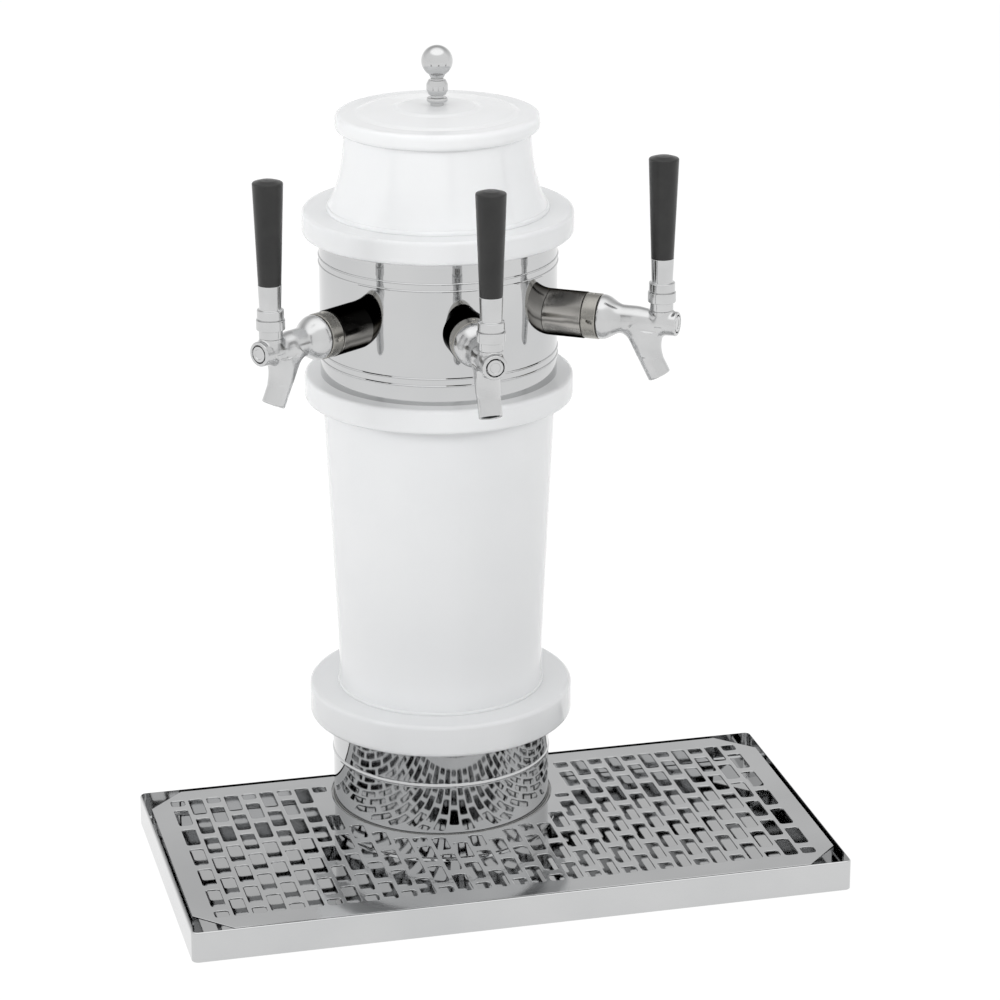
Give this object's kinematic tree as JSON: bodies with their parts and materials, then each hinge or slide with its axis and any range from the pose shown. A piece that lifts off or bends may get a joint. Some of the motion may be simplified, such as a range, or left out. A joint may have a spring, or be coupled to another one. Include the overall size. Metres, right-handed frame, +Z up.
{
  "type": "draft beer tower",
  "caption": "White column beer tower with a polished faucet band, forward-tilting tap levers, and a polished drip tray with a lift-out grate round its foot.",
  "frame": {"origin": "on the column's axis at counter level, at the centre of the mounting flange", "axes": "+Z up the column, -Y towards the person who pours (the centre tap's direction), +X to the right along the drip tray"},
  "size_m": [0.597, 0.363, 0.7349],
  "materials": {
    "polished_steel": "polished stainless steel",
    "white_paint": "gloss white enamel",
    "chrome": "bright chrome",
    "dark_nickel": "dark polished nickel",
    "black_plastic": "satin black phenolic",
    "plain_steel": "turned stainless steel",
    "brass": "turned brass",
    "rubber": "black rubber",
    "foam": "rigid insulation foam",
    "line_plastic": "clear plastic tubing",
    "seat_plastic": "white acetal"
  },
  "bodies": {
    "tower": {"mount_flange": "plain_steel", "base_neck": "polished_steel", "foot_flange": "white_paint", "column_body": "white_paint", "shoulder_flange": "white_paint", "band_ring": "polished_steel", "faucet_band": "polished_steel", "upper_flange": "white_paint", "dome": "white_paint", "lid": "white_paint", "finial": "chrome", "top_stud": "plain_steel", "clamp_plate": "plain_steel", "tie_rods": "plain_steel", "rod_nuts": "plain_steel", "ring_gaskets": "rubber", "insulation_sleeve": "foam", "line_grommet": "rubber", "inlet_stubs": "plain_steel", "beer_lines": "line_plastic", "tail_pieces": "plain_steel", "tail_nuts": "brass", "shank_locknuts": "brass", "shanks": "plain_steel", "front_caps": "chrome", "ball_seats": "seat_plastic", "tray_pan": "polished_steel", "tray_feet": "rubber", "notch_seal": "rubber", "shank_collar_left": "dark_nickel", "coupling_nut_left": "chrome", "faucet_body_left": "chrome", "bonnet_left": "chrome", "shank_collar_centre": "dark_nickel", "coupling_nut_centre": "chrome", "faucet_body_centre": "chrome", "bonnet_centre": "chrome", "shank_collar_right": "dark_nickel", "coupling_nut_right": "chrome", "faucet_body_right": "chrome", "bonnet_right": "chrome"},
    "lever_left": {"lever_left": "chrome", "ferrule_left": "chrome", "handle_left": "black_plastic"},
    "valve_left": {"valve_shaft_left": "plain_steel", "seat_washer_left": "rubber"},
    "lever_centre": {"lever_centre": "chrome", "ferrule_centre": "chrome", "handle_centre": "black_plastic"},
    "valve_centre": {"valve_shaft_centre": "plain_steel", "seat_washer_centre": "rubber"},
    "lever_right": {"lever_right": "chrome", "ferrule_right": "chrome", "handle_right": "black_plastic"},
    "valve_right": {"valve_shaft_right": "plain_steel", "seat_washer_right": "rubber"},
    "grate": {"tray_grate": "polished_steel"}
  },
  "joints": [
    {"name": "lever_tilt_left", "type": "hinge", "parent": "tower", "child": "lever_left", "pos_m": [-0.17288, -0.1153, 0.5164], "axis": [0.5548, -0.832, 0], "range_deg": [0, 25]},
    {"name": "valve_travel_left", "type": "slide", "parent": "tower", "child": "valve_left", "axis": [0.832, 0.5548, 0], "range_m": [0, 0.00525]},
    {"name": "lever_tilt_centre", "type": "hinge", "parent": "tower", "child": "lever_centre", "pos_m": [0, -0.195, 0.5164], "axis": [1, 0, 0], "range_deg": [0, 25]},
    {"name": "valve_travel_centre", "type": "slide", "parent": "tower", "child": "valve_centre", "axis": [0, 1, 0], "range_m": [0, 0.00525]},
    {"name": "lever_tilt_right", "type": "hinge", "parent": "tower", "child": "lever_right", "pos_m": [0.17288, -0.1153, 0.5164], "axis": [0.5548, 0.832, 0], "range_deg": [0, 25]},
    {"name": "valve_travel_right", "type": "slide", "parent": "tower", "child": "valve_right", "axis": [-0.832, 0.5548, 0], "range_m": [0, 0.00525]},
    {"name": "grate_lift", "type": "slide", "parent": "tower", "child": "grate", "axis": [0, 0, 1], "range_m": [0, 0.06]}
  ],
  "couplings": [
    {"joint": "valve_travel_left", "follows": "lever_tilt_left", "m_per_rad": 0.012},
    {"joint": "valve_travel_centre", "follows": "lever_tilt_centre", "m_per_rad": 0.012},
    {"joint": "valve_travel_right", "follows": "lever_tilt_right", "m_per_rad": 0.012}
  ]
}
